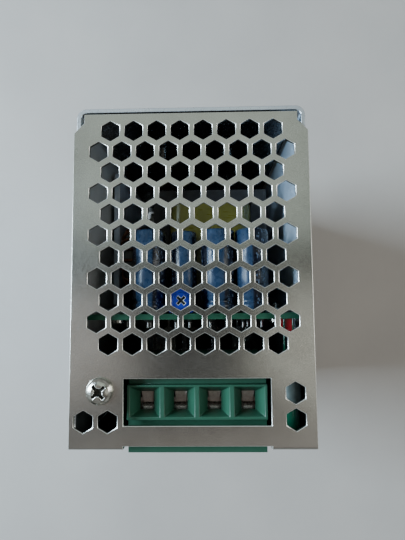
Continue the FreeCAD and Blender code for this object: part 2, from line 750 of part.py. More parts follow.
def solder_joints():
    """Solder cones with clipped lead ends on the front side of the board."""
    joints = []
    row_places = [(-13.4, 11.0), (-13.4, 16.0), (-5.3, 12.5), (-1.2, 12.5), (5.0, 12.0),
                  (9.9, 12.0), (14.7, 12.0), (16.4, 16.5), (20.2, 12.0), (-21.0, 18.0)]
    for across, depth in row_places:
        height = level("top", depth)
        fillet = cone((str(across), deep("board_front - 1"), height), "0.45", "1.1", "1", "y")
        tail = rod((str(across), deep("board_front - 2.6"), height), "0.38", "2", "y")
        joints.append(fuse([fillet, tail]))
    return keep("solder_joints", group(joints))


def transformer():
    """Ferrite core, bobbin and taped winding."""
    window = ("core_centre", "core_half - core_leg")
    core = box(about("core_x", "core_half"), span("core_front", "core_rear"),
               about("core_z", "core_thick"))
    hollow = span("core_front + core_leg", "core_rear - core_leg")
    windows = []
    for pair in (("core_x + " + window[0], "core_x + " + window[1]),
                 ("core_x - (%s)" % window[1], "core_x - " + window[0])):
        windows.append(box(pair, hollow, about("core_z", "core_thick + 1")))
    keep("transformer_core", cut(core, windows))
    start, end = "core_front + core_leg + 0.1", "core_rear - core_leg - 0.1"
    tube = box(about("core_x", "core_centre + 0.8"), span(start, end), about("core_z", "core_thick + 0.9"))
    flanges = [box(about("core_x", "coil_half + 0.2"), span(first, last), about("core_z", "coil_tall + 0.2"))
               for first, last in ((start, start + " + 0.8"), (end + " - 0.8", end))]
    rails = []
    for side in (-1, 1):
        middle = "core_z + %d * 10.7" % side
        rails.append(box(about("core_x", "12"), span(BOARD_BACK + " + 0.6", start + " + 0.4"),
                         about(middle, "3")))
        inward = "core_z + %d * 8.7" % side
        rails += [rod(("core_x + %s" % step, deep(BOARD_BACK), inward), "0.4", "1", "y")
                  for step in (-10, -5, 0, 5, 10)]
    hole = box(about("core_x", "core_centre + 0.1"), span(start + " - 1", end + " + 1"),
               about("core_z", "core_thick + 0.1"))
    keep("transformer_bobbin", cut(fuse([tube] + flanges + rails), [hole]))
    coil = box(about("core_x", "coil_half"), span(start + " + 0.9", end + " - 0.9"),
               about("core_z", "coil_tall"))
    coil = rounded(coil, 4.5, lambda edge: runs_along(edge, "y"))
    inner = box(about("core_x", "core_centre + 0.9"), span(start, end), about("core_z", "core_thick + 1"))
    keep("transformer_winding", cut(coil, [inner]))


def toroid(place, radius, thick, turns, axis, label):
    """A ring core and its winding, one closed turn after another."""
    keep(label + "_core", ring(place, radius, thick, axis))
    loops = []
    centre = FreeCAD.Vector(*[value_of(position) for position in place])
    for number in range(turns):
        angle = 360.0 * (number + 0.5) / turns
        loop = doc.addObject("Part::Torus", "turn")
        loop.setExpression("Radius1", linked("%s + 0.75" % thick))
        loop.setExpression("Radius2", linked("0.5"))
        spin = TURNS[axis].multiply(FreeCAD.Rotation(FreeCAD.Vector(0, 0, 1), angle))
        out = spin.multVec(FreeCAD.Vector(value_of(radius), 0, 0))
        tilt = spin.multiply(FreeCAD.Rotation(FreeCAD.Vector(1, 0, 0), 90))
        loop.Placement = FreeCAD.Placement(centre + out, tilt)
        loops.append(loop)
    keep(label + "_winding", group(loops))


def chokes():
    """Output choke beside the transformer, and the line filter near the input."""
    toroid(("-20.4", deep("54"), "97"), "7", "2.6", 18, "x", "output_choke")
    toroid(("17", deep("48"), "18.5"), "8", "2.8", 20, "x", "line_filter")


def package(x, y, z, label):
    """A plain moulded component with softened edges."""
    return keep(label, rounded(box(x, y, z), 0.4, lambda edge: True))


def heat_sinks():
    """Aluminium plates along both sides, with their power devices and screws."""
    screws = []
    for side, name, low, high in ((-1, "primary", "30", "90"), (1, "output", "29", "50")):
        plate_x = ["%d * 29.6" % side, "%d * 27.6" % side]
        body_x = ["%d * 27.6" % side, "%d * 26.3" % side]
        mould_x = ["%d * 26.3" % side, "%d * 23.1" % side]
        screw_x = "%d * 29.4" % side
        if side > 0:
            plate_x.reverse()
            body_x.reverse()
            mould_x.reverse()
            screw_x = "24.3"
        plate = box(plate_x, span("37.5", "86"), (low, high))
        feet = box(plate_x, span(BOARD_BACK, "37.5"), ("%s + 4" % low, "%s + 8" % low))
        holes = []
        devices = []
        heights = ("80", "40") if side < 0 else ("35", "45")
        for height in heights:
            tab = box(body_x, span("44", "59.5"), about(height, "5"))
            mould = box(mould_x, span("44", "53"), about(height, "4.9"))
            legs = [box(("%d * 25.4" % side + " - 0.3", "%d * 25.4" % side + " + 0.3"),
                        span(BOARD_BACK, "44"), about(height + shift, "0.4"))
                    for shift in (" - 2.54", "", " + 2.54")]
            bore = rod((plate_x[0] + " - 6", deep("56.6"), height), "1.6", "14", "x")
            holes.append(bore)
            devices.append(cut(fuse([tab, mould] + legs), [bore]))
            shank = rod((screw_x, deep("56.6"), height), "1.5", "5.1", "x")
            head_x = "-26.3" if side < 0 else "24.3"
            head = rod((head_x, deep("56.6"), height), "2.6", "2", "x")
            screws.append(fuse([shank, head]))
        keep(name + "_heat_sink", cut(fuse([plate, feet]), holes))
        keep(name + "_power_devices", group(devices))
    keep("device_screws", group(screws))


def input_parts():
    """Fuse, filter capacitors, surge parts, bridge rectifier and control chips."""
    package(("-22.6", "-4"), span(BOARD_BACK + " + 0.3", "51"), ("29.5", "42.5"), "line_capacitor")
    package(("0.5", "21"), span(BOARD_BACK + " + 4", "57"), ("40", "44"), "bridge_rectifier")
    tube = rod(("-24", deep("40.5"), "8"), "2.3", "20", "x")
    caps = [rod((start, deep("40.5"), "8"), "2.6", "5", "x") for start in ("-25", "-9")]
    keep("line_fuse", fuse([tube] + caps))
    clips = []
    for start in ("-24.4", "-8.4"):
        back = box((start, start + " + 3.8"), span(BOARD_BACK, "37.8"), about("8", "2.4"))
        clips.append(back)
    keep("fuse_clips", group(clips))
    discs = (("inrush_thermistor", "-20", "22", "6.5", "4.5"), ("surge_varistor", "-8", "21.5", "6.5", "4"))
    for label, across, height, radius, thick in discs:
        disc = rod((across, deep("44"), height), radius, thick, "x")
        legs = [box((across + " + 1", across + " + 1.8"), span(BOARD_BACK, "40"),
                    about(height + shift, "0.4")) for shift in (" - 2.5", " + 2.5")]
        keep(label, fuse([rounded(disc, 1.5, lambda edge: True)] + legs))
    chips = []
    for across, height in (("0", "30"), ("8", "30")):
        chips.append(rounded(box(about(across, "3.2"), span(BOARD_BACK + " + 0.6", "38.6"),
                                 about(height, "2.3")), 0.3, lambda edge: True))
    keep("optocouplers", group(chips))
    package(about("18", "3.2"), span(BOARD_BACK + " + 0.6", "38.8"), about("33", "4.8"), "control_chip")
    keep("film_capacitor", rounded(box(("26", "29.1"), span("29", "board_front"),
                                       levels("top", "8.3", "14")), 0.25, lambda edge: True))


def lamp():
    """The round output lamp behind the front panel, its spacer tube and leads."""
    place = ("lamp_x", deep("0"), level("top", "lamp_depth"))
    lens = [("0", "-1.6"), ("1.2", "-1.35"), ("2.1", "-0.5"), ("lamp_radius", "0.7"),
            ("lamp_radius", "9.4"), ("lamp_radius + 0.4", "9.4"), ("lamp_radius + 0.4", "10.4"),
            ("0", "10.4")]
    leads = [rod(("lamp_x" + shift, deep("10.3"), level("top", "lamp_depth")), "0.28",
                 "board_front - 10.3", "y") for shift in (" - 1.27", " + 1.27")]
    keep("output_lamp", fuse([lathe(lens, place, "y")] + leads))
    tube = [("1.9", "10.5"), ("3", "10.5"), ("3", "21"), ("1.9", "21")]
    keep("lamp_spacer", lathe(tube, place, "y"))


# ---------------------------------------------------------------- rail clip


def rail_clip():
    """The fixed half of the rail clip: base, upper hook, seats, latch guides and spring lug."""
    edge_top = "rail_z + rail_half"
    base_rear = deep("case_depth + clip_wall")
    outline = [
        (deep("case_depth"), "clip_low"), (deep("case_depth"), "clip_top"),
        (base_rear, "clip_top"), (base_rear, edge_top + " + 6"),
        (deep("hook_rear - 1"), edge_top + " + 4.3"), (deep("hook_rear"), edge_top + " + 3.3"),
        (deep("hook_rear"), edge_top + " - hook_grip"), (deep("hook_front"), edge_top + " - hook_grip"),
        (deep("hook_front"), edge_top + " + 0.3"), (deep("seat"), edge_top + " + 0.3"),
        (deep("seat"), edge_top + " - 9"), (base_rear, edge_top + " - 11"),
        (base_rear, "rail_z - 6"), (deep("seat"), "rail_z - 8"),
        (deep("seat"), "rail_z - rail_half + 0.6"), (base_rear, "rail_z - rail_half + 0.6"),
        (base_rear, "clip_low"),
    ]
    body = extrusion("x", outline, "0 - clip_half", "clip_half")
    guides = [body]
    for side in (-1, 1):
        wall = ["%d * (latch_half + 0.2)" % side, "%d * (latch_half + 2)" % side]
        hood = ["%d * (latch_half - 1.5)" % side, "%d * (latch_half + 2)" % side]
        if side < 0:
            wall.reverse()
            hood.reverse()
        tall = ("clip_low + 8", "clip_low + 17.2")
        guides.append(box(wall, span("case_depth + clip_wall - 0.5", "latch_front + latch_wall + 1"), tall))
        guides.append(box(hood, span("latch_front + latch_wall + 0.15", "latch_front + latch_wall + 1"),
                          tall))
    guides.append(box(("-1.9", "1.9"), span("case_depth + clip_wall - 0.5", "latch_front + 4.2"),
                      ("spring_low - 2", "spring_low")))
    holes = []
    for across, height in clip_screw_places():
        holes.append(rod((across, deep("case_depth - 1"), height), "1.56", "5", "y"))
    keep("rail_clip", cut(fuse(guides), holes))
    screws = []
    for across, height in clip_screw_places():
        screws.append(fuse([
            rod((across, deep("case_depth + clip_wall"), height), "2.7", "1.6", "y"),
            rod((across, deep("case_depth - 2.6"), height), "1.5", "4.8", "y")]))
    slots = []
    for screw, (across, height) in zip(screws, clip_screw_places()):
        slot = box(about(across, "1.7"), span("case_depth + clip_wall + 0.8", "case_depth + clip_wall + 3"),
                   about(height, "0.4"))
        slots.append(cut(screw, [slot]))
    keep("clip_screws", group(slots))


def latch():
    """The sliding latch, with its nose behind the rail's lower edge and its pull tab."""
    edge_low = "rail_z - rail_half"
    front = deep("latch_front")
    rear = deep("latch_front + latch_wall")
    outline = [
        (front, "latch_low"), (front, edge_low + " - 0.6"), (deep("hook_front"), edge_low + " - 0.6"),
        (deep("hook_front"), edge_low + " + hook_grip"),
        (deep("hook_front + 0.5"), edge_low + " + hook_grip"),
        (deep("hook_rear"), edge_low + " - 1.2"), (deep("hook_rear"), edge_low + " - 3.2"),
        (rear, edge_low + " - 4.4"), (rear, "latch_low + 3"), (deep("hook_rear"), "latch_low + 1.6"),
        (deep("hook_rear"), "latch_low"),
    ]
    body = extrusion("x", outline, "0 - latch_half", "latch_half")
    window = box(("-2.3", "2.3"), span("latch_front - 1", "latch_front + latch_wall + 1"),
                 ("spring_low - 8", "spring_top"))
    key = box(("-2.2", "2.2"), span("latch_front + 1.7", "hook_rear - 1.3"),
              ("latch_low - 1", "latch_low + 5"))
    keep("rail_latch", cut(body, [window, key]))


def latch_spring():
    """The coil spring that holds the latch up."""
    tall = size("spring_top") - size("spring_low") - 2 * size("spring_wire") - 0.1
    pitch = tall / size("spring_coils")
    path = Part.makeHelix(pitch, tall, size("spring_radius"))
    start = FreeCAD.Vector(size("spring_radius"), 0, 0)
    loop = Part.Wire(Part.makeCircle(size("spring_wire"), start, FreeCAD.Vector(0, 1, 0)))
    coil = Part.Wire(path.Edges).makePipeShell([loop], True, True)
    spring = doc.addObject("Part::Feature", "spring")
    spring.Shape = coil
    middle = FreeCAD.Vector(0, value_of(deep("latch_front + 2.4")),
                            size("spring_low") + size("spring_wire") + 0.05)
    spring.Placement = FreeCAD.Placement(middle, FreeCAD.Rotation())
    keep("latch_spring", spring)


def front_label():
    """A plain label film on the front panel."""
    film = box(("-27", "27"), span("-0.2", "0"), ("29.5", "95"))
    keep("front_label", rounded(film, 2.0, lambda edge: runs_along(edge, "y")))


def write_parts():
    """Checks every object and writes one STEP file for each sub-part."""
    for item in doc.Objects:
        if "Invalid" in item.State or "Error" in item.State:
            raise RuntimeError("%s (%s) is not valid" % (item.Name, item.Label))
    os.makedirs("parts", exist_ok=True)
    for old in os.listdir("parts"):
        os.remove(os.path.join("parts", old))
    for item in parts:
        if item.Shape.isNull() or not item.Shape.isValid():
            raise RuntimeError("%s has no valid shape" % item.Label)
        item.Shape.exportStep("parts/%s.step" % item.Label)
        print("%-28s %2d solid %9.1f mm3" % (item.Label, len(item.Shape.Solids), item.Shape.Volume))
    print(len(parts), "parts")


chassis()
wrap_cover()
cover_screws()
terminal_blocks()
circuit_board()
trimmer()
capacitors()
solder_joints()
transformer()
chokes()
heat_sinks()
input_parts()
lamp()
rail_clip()
latch()
latch_spring()
front_label()
doc.recompute()
write_parts()
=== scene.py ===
import json
import math

import bmesh
import bpy
from mathutils import Matrix, Vector

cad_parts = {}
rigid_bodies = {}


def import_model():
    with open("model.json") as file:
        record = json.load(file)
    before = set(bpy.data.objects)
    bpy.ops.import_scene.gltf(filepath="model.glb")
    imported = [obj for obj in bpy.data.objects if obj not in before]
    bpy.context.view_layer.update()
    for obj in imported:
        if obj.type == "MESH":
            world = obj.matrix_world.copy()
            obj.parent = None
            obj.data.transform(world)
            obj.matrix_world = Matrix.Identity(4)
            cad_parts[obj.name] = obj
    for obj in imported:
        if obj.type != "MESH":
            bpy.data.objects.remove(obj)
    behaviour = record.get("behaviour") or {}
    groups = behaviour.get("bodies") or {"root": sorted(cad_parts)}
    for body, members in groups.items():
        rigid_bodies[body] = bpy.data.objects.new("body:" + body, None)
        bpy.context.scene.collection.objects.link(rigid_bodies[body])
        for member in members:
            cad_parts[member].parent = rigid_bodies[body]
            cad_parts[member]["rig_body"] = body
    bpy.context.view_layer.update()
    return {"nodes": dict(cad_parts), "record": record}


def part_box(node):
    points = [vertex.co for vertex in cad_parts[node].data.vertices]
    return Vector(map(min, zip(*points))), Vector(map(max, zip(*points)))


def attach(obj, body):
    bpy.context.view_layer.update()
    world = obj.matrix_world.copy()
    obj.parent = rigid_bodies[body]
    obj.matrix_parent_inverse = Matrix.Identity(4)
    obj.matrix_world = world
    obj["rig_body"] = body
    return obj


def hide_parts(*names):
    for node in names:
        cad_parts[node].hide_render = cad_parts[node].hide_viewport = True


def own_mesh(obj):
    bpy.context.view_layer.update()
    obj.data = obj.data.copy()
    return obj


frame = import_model()
nodes = frame["nodes"]
slots = {part["node"]: part["material_slot"] for part in frame["record"]["subparts"]}

MM = 0.001
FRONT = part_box("chassis")[0].y
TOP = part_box("chassis")[1].z

NOISE_LOW, NOISE_HIGH = 0.3, 0.7  # most of a noise texture lies between these
WELD = 1e-6                       # vertices closer than this become one
FLAT = math.radians(1)            # faces that meet at less than this are one face
SHARP = math.radians(30)          # edges that turn more than this get a radius


# ---------------------------------------------------------------- materials


def new_material(name):
    """A node material with its Principled shader and texture coordinates."""
    material = bpy.data.materials.new(name)
    material.use_nodes = True
    tree = material.node_tree
    shader = tree.nodes["Principled BSDF"]
    place = tree.nodes.new("ShaderNodeTexCoord")
    return material, tree, shader, place.outputs["Object"]


def noise(tree, place, size_mm, detail=3.0, stretch=(1, 1, 1)):
    """Noise whose features are about size_mm across."""
    mapping = tree.nodes.new("ShaderNodeMapping")
    mapping.inputs["Scale"].default_value = stretch
    tree.links.new(place, mapping.inputs["Vector"])
    texture = tree.nodes.new("ShaderNodeTexNoise")
    texture.inputs["Scale"].default_value = 1.0 / (size_mm * MM)
    texture.inputs["Detail"].default_value = detail
    tree.links.new(mapping.outputs["Vector"], texture.inputs["Vector"])
    return texture.outputs["Fac"]


def ramp(tree, factor, stops):
    """A colour ramp over a factor; each stop is a position and a colour."""
    node = tree.nodes.new("ShaderNodeValToRGB")
    elements = node.color_ramp.elements
    while len(elements) < len(stops):
        elements.new(0.5)
    for element, (position, colour) in zip(elements, stops):
        element.position = position
        element.color = (*colour, 1)
    tree.links.new(factor, node.inputs["Fac"])
    return node.outputs["Color"]


def mottle(tree, factor, dark, light):
    """Two colours mixed by a noise."""
    return ramp(tree, factor, ((NOISE_LOW, dark), (NOISE_HIGH, light)))


def remap(tree, value, first, last, low=0.0, high=1.0):
    """A value remapped from first .. last to low .. high."""
    node = tree.nodes.new("ShaderNodeMapRange")
    node.inputs["From Min"].default_value = first
    node.inputs["From Max"].default_value = last
    node.inputs["To Min"].default_value = low
    node.inputs["To Max"].default_value = high
    tree.links.new(value, node.inputs["Value"])
    return node.outputs["Result"]


def span(tree, factor, low, high):
    """A noise remapped to low .. high."""
    return remap(tree, factor, NOISE_LOW, NOISE_HIGH, low, high)


def axes(tree, vector):
    """The three components of a vector."""
    node = tree.nodes.new("ShaderNodeSeparateXYZ")
    tree.links.new(vector, node.inputs[0])
    return node.outputs


def product(tree, first, second):
    """A factor times another factor or a plain number."""
    node = tree.nodes.new("ShaderNodeMath")
    node.operation = "MULTIPLY"
    tree.links.new(first, node.inputs[0])
    if isinstance(second, float):
        node.inputs[1].default_value = second
    else:
        tree.links.new(second, node.inputs[1])
    return node.outputs["Value"]


def between(tree, value, low, high, soft):
    """1 where a value lies between two limits, with a soft edge."""
    return product(tree, remap(tree, value, low - soft, low + soft),
                   remap(tree, value, high + soft, high - soft))


def blend(tree, factor, first, second):
    """One colour over another; each is an output or a plain colour."""
    node = tree.nodes.new("ShaderNodeMix")
    node.data_type = "RGBA"
    tree.links.new(factor, node.inputs[0])
    for socket, colour in ((6, first), (7, second)):
        if isinstance(colour, tuple):
            node.inputs[socket].default_value = (*colour, 1)
        else:
            tree.links.new(colour, node.inputs[socket])
    return node.outputs[2]


def bump(tree, shader, factor, height_mm):
    """Small relief from a factor."""
    node = tree.nodes.new("ShaderNodeBump")
    node.inputs["Distance"].default_value = height_mm * MM
    node.inputs["Strength"].default_value = 1.0
    tree.links.new(factor, node.inputs["Height"])
    tree.links.new(node.outputs["Normal"], shader.inputs["Normal"])


def surface(name, dark, light, metal, rough, patch_mm, grain_mm, relief_mm,
            stretch=(1, 1, 1)):
    """A finish with slow colour patches, uneven roughness and a fine grain."""
    material, tree, shader, place = new_material(name)
    patches = noise(tree, place, patch_mm, 4.0)
    grain = noise(tree, place, grain_mm, 2.0, stretch)
    tree.links.new(mottle(tree, patches, dark, light), shader.inputs["Base Color"])
    tree.links.new(span(tree, grain, rough[0], rough[1]), shader.inputs["Roughness"])
    shader.inputs["Metallic"].default_value = metal
    bump(tree, shader, grain, relief_mm)
    return material


def zinc_sheet():
    """Zinc-plated sheet: satin, faintly mottled, with bright specks."""
    material, tree, shader, place = new_material("zinc_sheet")
    patches = noise(tree, place, 9.0, 5.0)
    grain = noise(tree, place, 0.35, 2.0)
    slow = mottle(tree, patches, (0.46, 0.46, 0.42), (0.56, 0.57, 0.53))
    sand = noise(tree, place, 0.28, 3.0)
    sand_tone, speck_tone = (0.72, 0.72, 0.67), (0.95, 0.94, 0.90)
    colour = blend(tree, span(tree, sand, 0.0, 0.45), slow, sand_tone)
    specks = tree.nodes.new("ShaderNodeTexVoronoi")
    specks.inputs["Scale"].default_value = 1.0 / (0.7 * MM)
    tree.links.new(place, specks.inputs["Vector"])
    spot = ramp(tree, specks.outputs["Distance"], ((0.0, (1, 1, 1)), (0.13, (0, 0, 0))))
    tree.links.new(blend(tree, spot, colour, speck_tone), shader.inputs["Base Color"])
    tree.links.new(span(tree, grain, 0.17, 0.25), shader.inputs["Roughness"])
    shader.inputs["Metallic"].default_value = 1.0
    bump(tree, shader, grain, 0.008)
    return material


def capacitor_sleeve():
    """Shrink sleeve: dark navy, one steel-blue band that is both a polarity stripe and a
    painted highlight, and three columns of short pale bars.

    The wrap map gives the share of a turn from the band, and the distance along in mm."""
    material, tree, shader, place = new_material("capacitor_sleeve")
    wrap = tree.nodes.new("ShaderNodeUVMap")
    around, along = axes(tree, wrap.outputs["UV"])[:2]
    grain = noise(tree, place, 1.5, 2.0)
    navy = mottle(tree, grain, (0.002, 0.003, 0.008), (0.004, 0.006, 0.016))
    # steel-blue band: a polarity stripe in the colour of a painted highlight along the top of
    # the sleeve
    steel = mottle(tree, grain, (0.018, 0.048, 0.105), (0.027, 0.068, 0.140))
    band, band_soft = 0.085, 0.008
    colour = blend(tree, between(tree, around, -band, band, band_soft), navy, steel)
    bars = tree.nodes.new("ShaderNodeTexVoronoi")
    bars.feature = "F1"
    bars.distance = "CHEBYCHEV"
    bars.inputs["Scale"].default_value = 1.0
    stretch = tree.nodes.new("ShaderNodeCombineXYZ")
    bars_around, bars_along = 60.0, 1.05
    for source, scale, socket in ((around, bars_around, 0), (along, bars_along, 1)):
        tree.links.new(product(tree, source, scale), stretch.inputs[socket])
    tree.links.new(stretch.outputs[0], bars.inputs["Vector"])
    marks = ramp(tree, bars.outputs["Distance"], ((0.26, (1, 1, 1)), (0.34, (0, 0, 0))))
    columns, column_soft = ((0.115, 0.150), (0.175, 0.205), (-0.20, -0.165)), 0.003
    pale = (0.16, 0.22, 0.32)
    for low, high in columns:
        column = product(tree, between(tree, around, low, high, column_soft), marks)
        colour = blend(tree, column, colour, pale)
    tree.links.new(colour, shader.inputs["Base Color"])
    tree.links.new(span(tree, grain, 0.22, 0.34), shader.inputs["Roughness"])
    return material


def inner_wall(name, dark, light):
    """The matt inside of a cover wall, with painted shade in front of the board."""
    material, tree, shader, place = new_material(name)
    patches = noise(tree, place, 12.0, 4.0)
    grain = noise(tree, place, 0.5, 2.0, (1, 1, 0.1))
    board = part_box("circuit_board")[0].y
    # painted shade: from just behind the board forward, the wall colour is blended to a
    # near-black shade colour
    wall_shade_end, wall_lit_start = board - 6 * MM, board + 2 * MM
    wall_lit = remap(tree, axes(tree, place)[1], wall_shade_end, wall_lit_start)
    wall_painted_shade = (0.03, 0.035, 0.035)
    colour = mottle(tree, patches, dark, light)
    tree.links.new(blend(tree, wall_lit, wall_painted_shade, colour), shader.inputs["Base Color"])
    tree.links.new(span(tree, grain, 0.34, 0.46), shader.inputs["Roughness"])
    shader.inputs["Metallic"].default_value = 0.1
    bump(tree, shader, grain, 0.004)
    return material


def contact_tin():
    """Tinned strip: bright inside the block, with painted shade where it runs on to the board.
    """
    material, tree, shader, place = new_material("contact_tin")
    grain = noise(tree, place, 0.8, 3.0)
    bright = mottle(tree, grain, (0.78, 0.76, 0.72), (0.92, 0.90, 0.86))
    # painted shade: the pins behind the block are coloured near black for the shade there
    pin_painted_shade = mottle(tree, grain, (0.012, 0.012, 0.012), (0.030, 0.030, 0.028))
    pin_lit_end, pin_shade_start = FRONT + 19 * MM, FRONT + 22 * MM
    pin_shaded = remap(tree, axes(tree, place)[1], pin_lit_end, pin_shade_start)
    tree.links.new(blend(tree, pin_shaded, bright, pin_painted_shade), shader.inputs["Base Color"])
    tree.links.new(span(tree, grain, 0.2, 0.35), shader.inputs["Roughness"])
    shader.inputs["Metallic"].default_value = 0.35
    return material


# dark and light colour; metal, roughness range, sizes of patch, grain and relief in mm, and
# how the grain is stretched
SURFACES = {
    "cut_edge": ((0.74, 0.74, 0.68), (0.88, 0.88, 0.82),
        0.9, (0.24, 0.36), 3.0, 0.2, 0.004),
    "cover_sheet": ((0.58, 0.62, 0.66), (0.68, 0.72, 0.75),
        0.85, (0.26, 0.38), 12.0, 0.5, 0.004),
    "worn_lip": ((0.75, 0.74, 0.66), (0.92, 0.90, 0.82),
        0.8, (0.20, 0.35), 0.8, 0.3, 0.01),
    # painted shade: the screw's cross recess is coloured dark for the shade inside it
    "recess": ((0.03, 0.03, 0.025), (0.10, 0.095, 0.08),
        0.9, (0.30, 0.50), 0.8, 0.3, 0.01),
    # painted shade: a dark copy of the cover sheet for the shaded inside of the rear wall
    "cover_rear_painted_shade": ((0.16, 0.17, 0.18), (0.22, 0.23, 0.24),
        1.0, (0.22, 0.32), 12.0, 0.5, 0.004),
    "hole_wall": ((0.16, 0.16, 0.14), (0.24, 0.24, 0.22),
        1.0, (0.30, 0.45), 2.0, 0.2, 0.01, (1, 1, 0.2)),
    # painted shade: the trimmer's slot is coloured near black for the shade inside it
    "slot_painted_shade": ((0.004, 0.004, 0.006), (0.012, 0.012, 0.014),
        0.0, (0.5, 0.7), 0.6, 0.2, 0.004),
    "screw_steel": ((0.42, 0.42, 0.37), (0.70, 0.70, 0.64),
        1.0, (0.14, 0.26), 1.2, 0.5, 0.03),
    "housing_green": ((0.010, 0.054, 0.030), (0.013, 0.067, 0.039),
        0.0, (0.34, 0.46), 6.0, 0.4, 0.006),
    "clamp_steel": ((0.76, 0.58, 0.53), (0.94, 0.78, 0.73),
        0.25, (0.25, 0.42), 1.2, 0.25, 0.008),
    "board_green": ((0.010, 0.075, 0.040), (0.020, 0.120, 0.065),
        0.0, (0.28, 0.42), 3.0, 0.5, 0.004),
    "trimmer_blue": ((0.001, 0.012, 0.21), (0.003, 0.022, 0.32),
        0.0, (0.32, 0.45), 2.0, 0.3, 0.004),
    "can_aluminium": ((0.60, 0.61, 0.62), (0.75, 0.76, 0.77),
        1.0, (0.25, 0.4), 3.0, 0.3, 0.004),
    "rubber": ((0.010, 0.010, 0.010), (0.020, 0.020, 0.020),
        0.0, (0.6, 0.75), 2.0, 0.3, 0.01),
    # painted highlight: the pale lip of the trimmer's slot stands in for the highlight on its
    # chamfer
    "lip_painted_highlight": ((0.30, 0.34, 0.30), (0.60, 0.62, 0.55),
        0.0, (0.4, 0.55), 0.6, 0.2, 0.004),
    "solder": ((0.22, 0.22, 0.21), (0.40, 0.40, 0.38),
        1.0, (0.3, 0.5), 0.8, 0.3, 0.01),
    "ferrite": ((0.012, 0.012, 0.013), (0.030, 0.030, 0.031),
        0.0, (0.5, 0.7), 3.0, 0.4, 0.01),
    "bobbin_black": ((0.008, 0.008, 0.009), (0.016, 0.016, 0.017),
        0.0, (0.35, 0.5), 3.0, 0.4, 0.004),
    "tape_yellow": ((0.095, 0.088, 0.010), (0.13, 0.12, 0.014),
        0.0, (0.25, 0.40), 4.0, 1.0, 0.02, (0.2, 1, 1)),
    "core_grey": ((0.05, 0.06, 0.05), (0.09, 0.10, 0.09),
        0.0, (0.35, 0.5), 3.0, 0.4, 0.01),
    "copper": ((0.075, 0.030, 0.014), (0.14, 0.052, 0.022),
        0.5, (0.18, 0.30), 1.5, 0.4, 0.004),
    "heat_sink": ((0.46, 0.53, 0.62), (0.58, 0.65, 0.74),
        0.3, (0.28, 0.45), 5.0, 0.4, 0.01, (1, 0.06, 1)),
    "mould_black": ((0.006, 0.006, 0.007), (0.014, 0.014, 0.015),
        0.0, (0.4, 0.6), 2.0, 0.2, 0.01),
    "film_yellow": ((0.50, 0.36, 0.03), (0.62, 0.46, 0.05),
        0.0, (0.3, 0.45), 3.0, 0.5, 0.01),
    "film_red": ((0.30, 0.008, 0.012), (0.45, 0.015, 0.02),
        0.0, (0.25, 0.4), 1.5, 0.3, 0.01),
    "fuse_ceramic": ((0.60, 0.57, 0.50), (0.75, 0.72, 0.65),
        0.0, (0.2, 0.4), 3.0, 0.5, 0.01),
    "disc_green": ((0.02, 0.06, 0.03), (0.04, 0.10, 0.05),
        0.0, (0.25, 0.45), 2.0, 0.5, 0.02),
    "disc_blue": ((0.01, 0.05, 0.20), (0.02, 0.08, 0.30),
        0.0, (0.25, 0.45), 2.0, 0.5, 0.02),
    "chip_white": ((0.60, 0.60, 0.57), (0.75, 0.75, 0.72),
        0.0, (0.4, 0.6), 2.0, 0.3, 0.01),
    "lamp_green": ((0.002, 0.045, 0.024), (0.004, 0.075, 0.040),
        0.0, (0.08, 0.16), 2.0, 0.5, 0.004),
    "spacer_grey": ((0.07, 0.09, 0.085), (0.11, 0.135, 0.125),
        0.0, (0.35, 0.5), 2.0, 0.4, 0.006),
    "clip_metal": ((0.56, 0.57, 0.58), (0.68, 0.69, 0.70),
        1.0, (0.30, 0.44), 6.0, 0.5, 0.01, (0.06, 1, 1)),
    "latch_steel": ((0.58, 0.58, 0.57), (0.72, 0.72, 0.70),
        1.0, (0.26, 0.40), 4.0, 0.4, 0.006),
    "spring_steel": ((0.45, 0.45, 0.44), (0.62, 0.62, 0.60),
        1.0, (0.2, 0.35), 2.0, 0.3, 0.004),
    "label_film": ((0.70, 0.70, 0.68), (0.78, 0.78, 0.76),
        0.0, (0.35, 0.5), 8.0, 0.4, 0.002),
}

MAKERS = {
    "zinc_sheet": zinc_sheet,
    "contact_tin": contact_tin,
    "sleeve_navy": capacitor_sleeve,
    # lit and shaded copies of one inner wall: painted blue window light on the right wall,
    # painted shade on the left wall
    "cover_right_painted_light": lambda: inner_wall("cover_right_painted_light", (0.58, 0.72, 0.88), (0.68, 0.82, 0.96)),
    "cover_left_painted_shade": lambda: inner_wall("cover_left_painted_shade", (0.40, 0.41, 0.40), (0.50, 0.51, 0.50)),
}

FINISHES = {}


def finish(name):
    """The material of a finish, built once."""
    if name not in FINISHES:
        FINISHES[name] = MAKERS[name]() if name in MAKERS else surface(name, *SURFACES[name])
    return FINISHES[name]


def dress_nodes():
    """Gives every CAD node the finish of its slot."""
    for node, slot in slots.items():
        nodes[node].data.materials.clear()
        nodes[node].data.materials.append(finish(slot))


# ---------------------------------------------------------------- pieces


def link_mesh(name, mesh):
    """A new object in the scene."""
    piece = bpy.data.objects.new(name, mesh)
    bpy.context.scene.collection.objects.link(piece)
    return piece


def hold(piece, node):
    """The piece rides with a CAD node's body and stands for it."""
    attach(piece, nodes[node]["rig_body"])
    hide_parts(node)


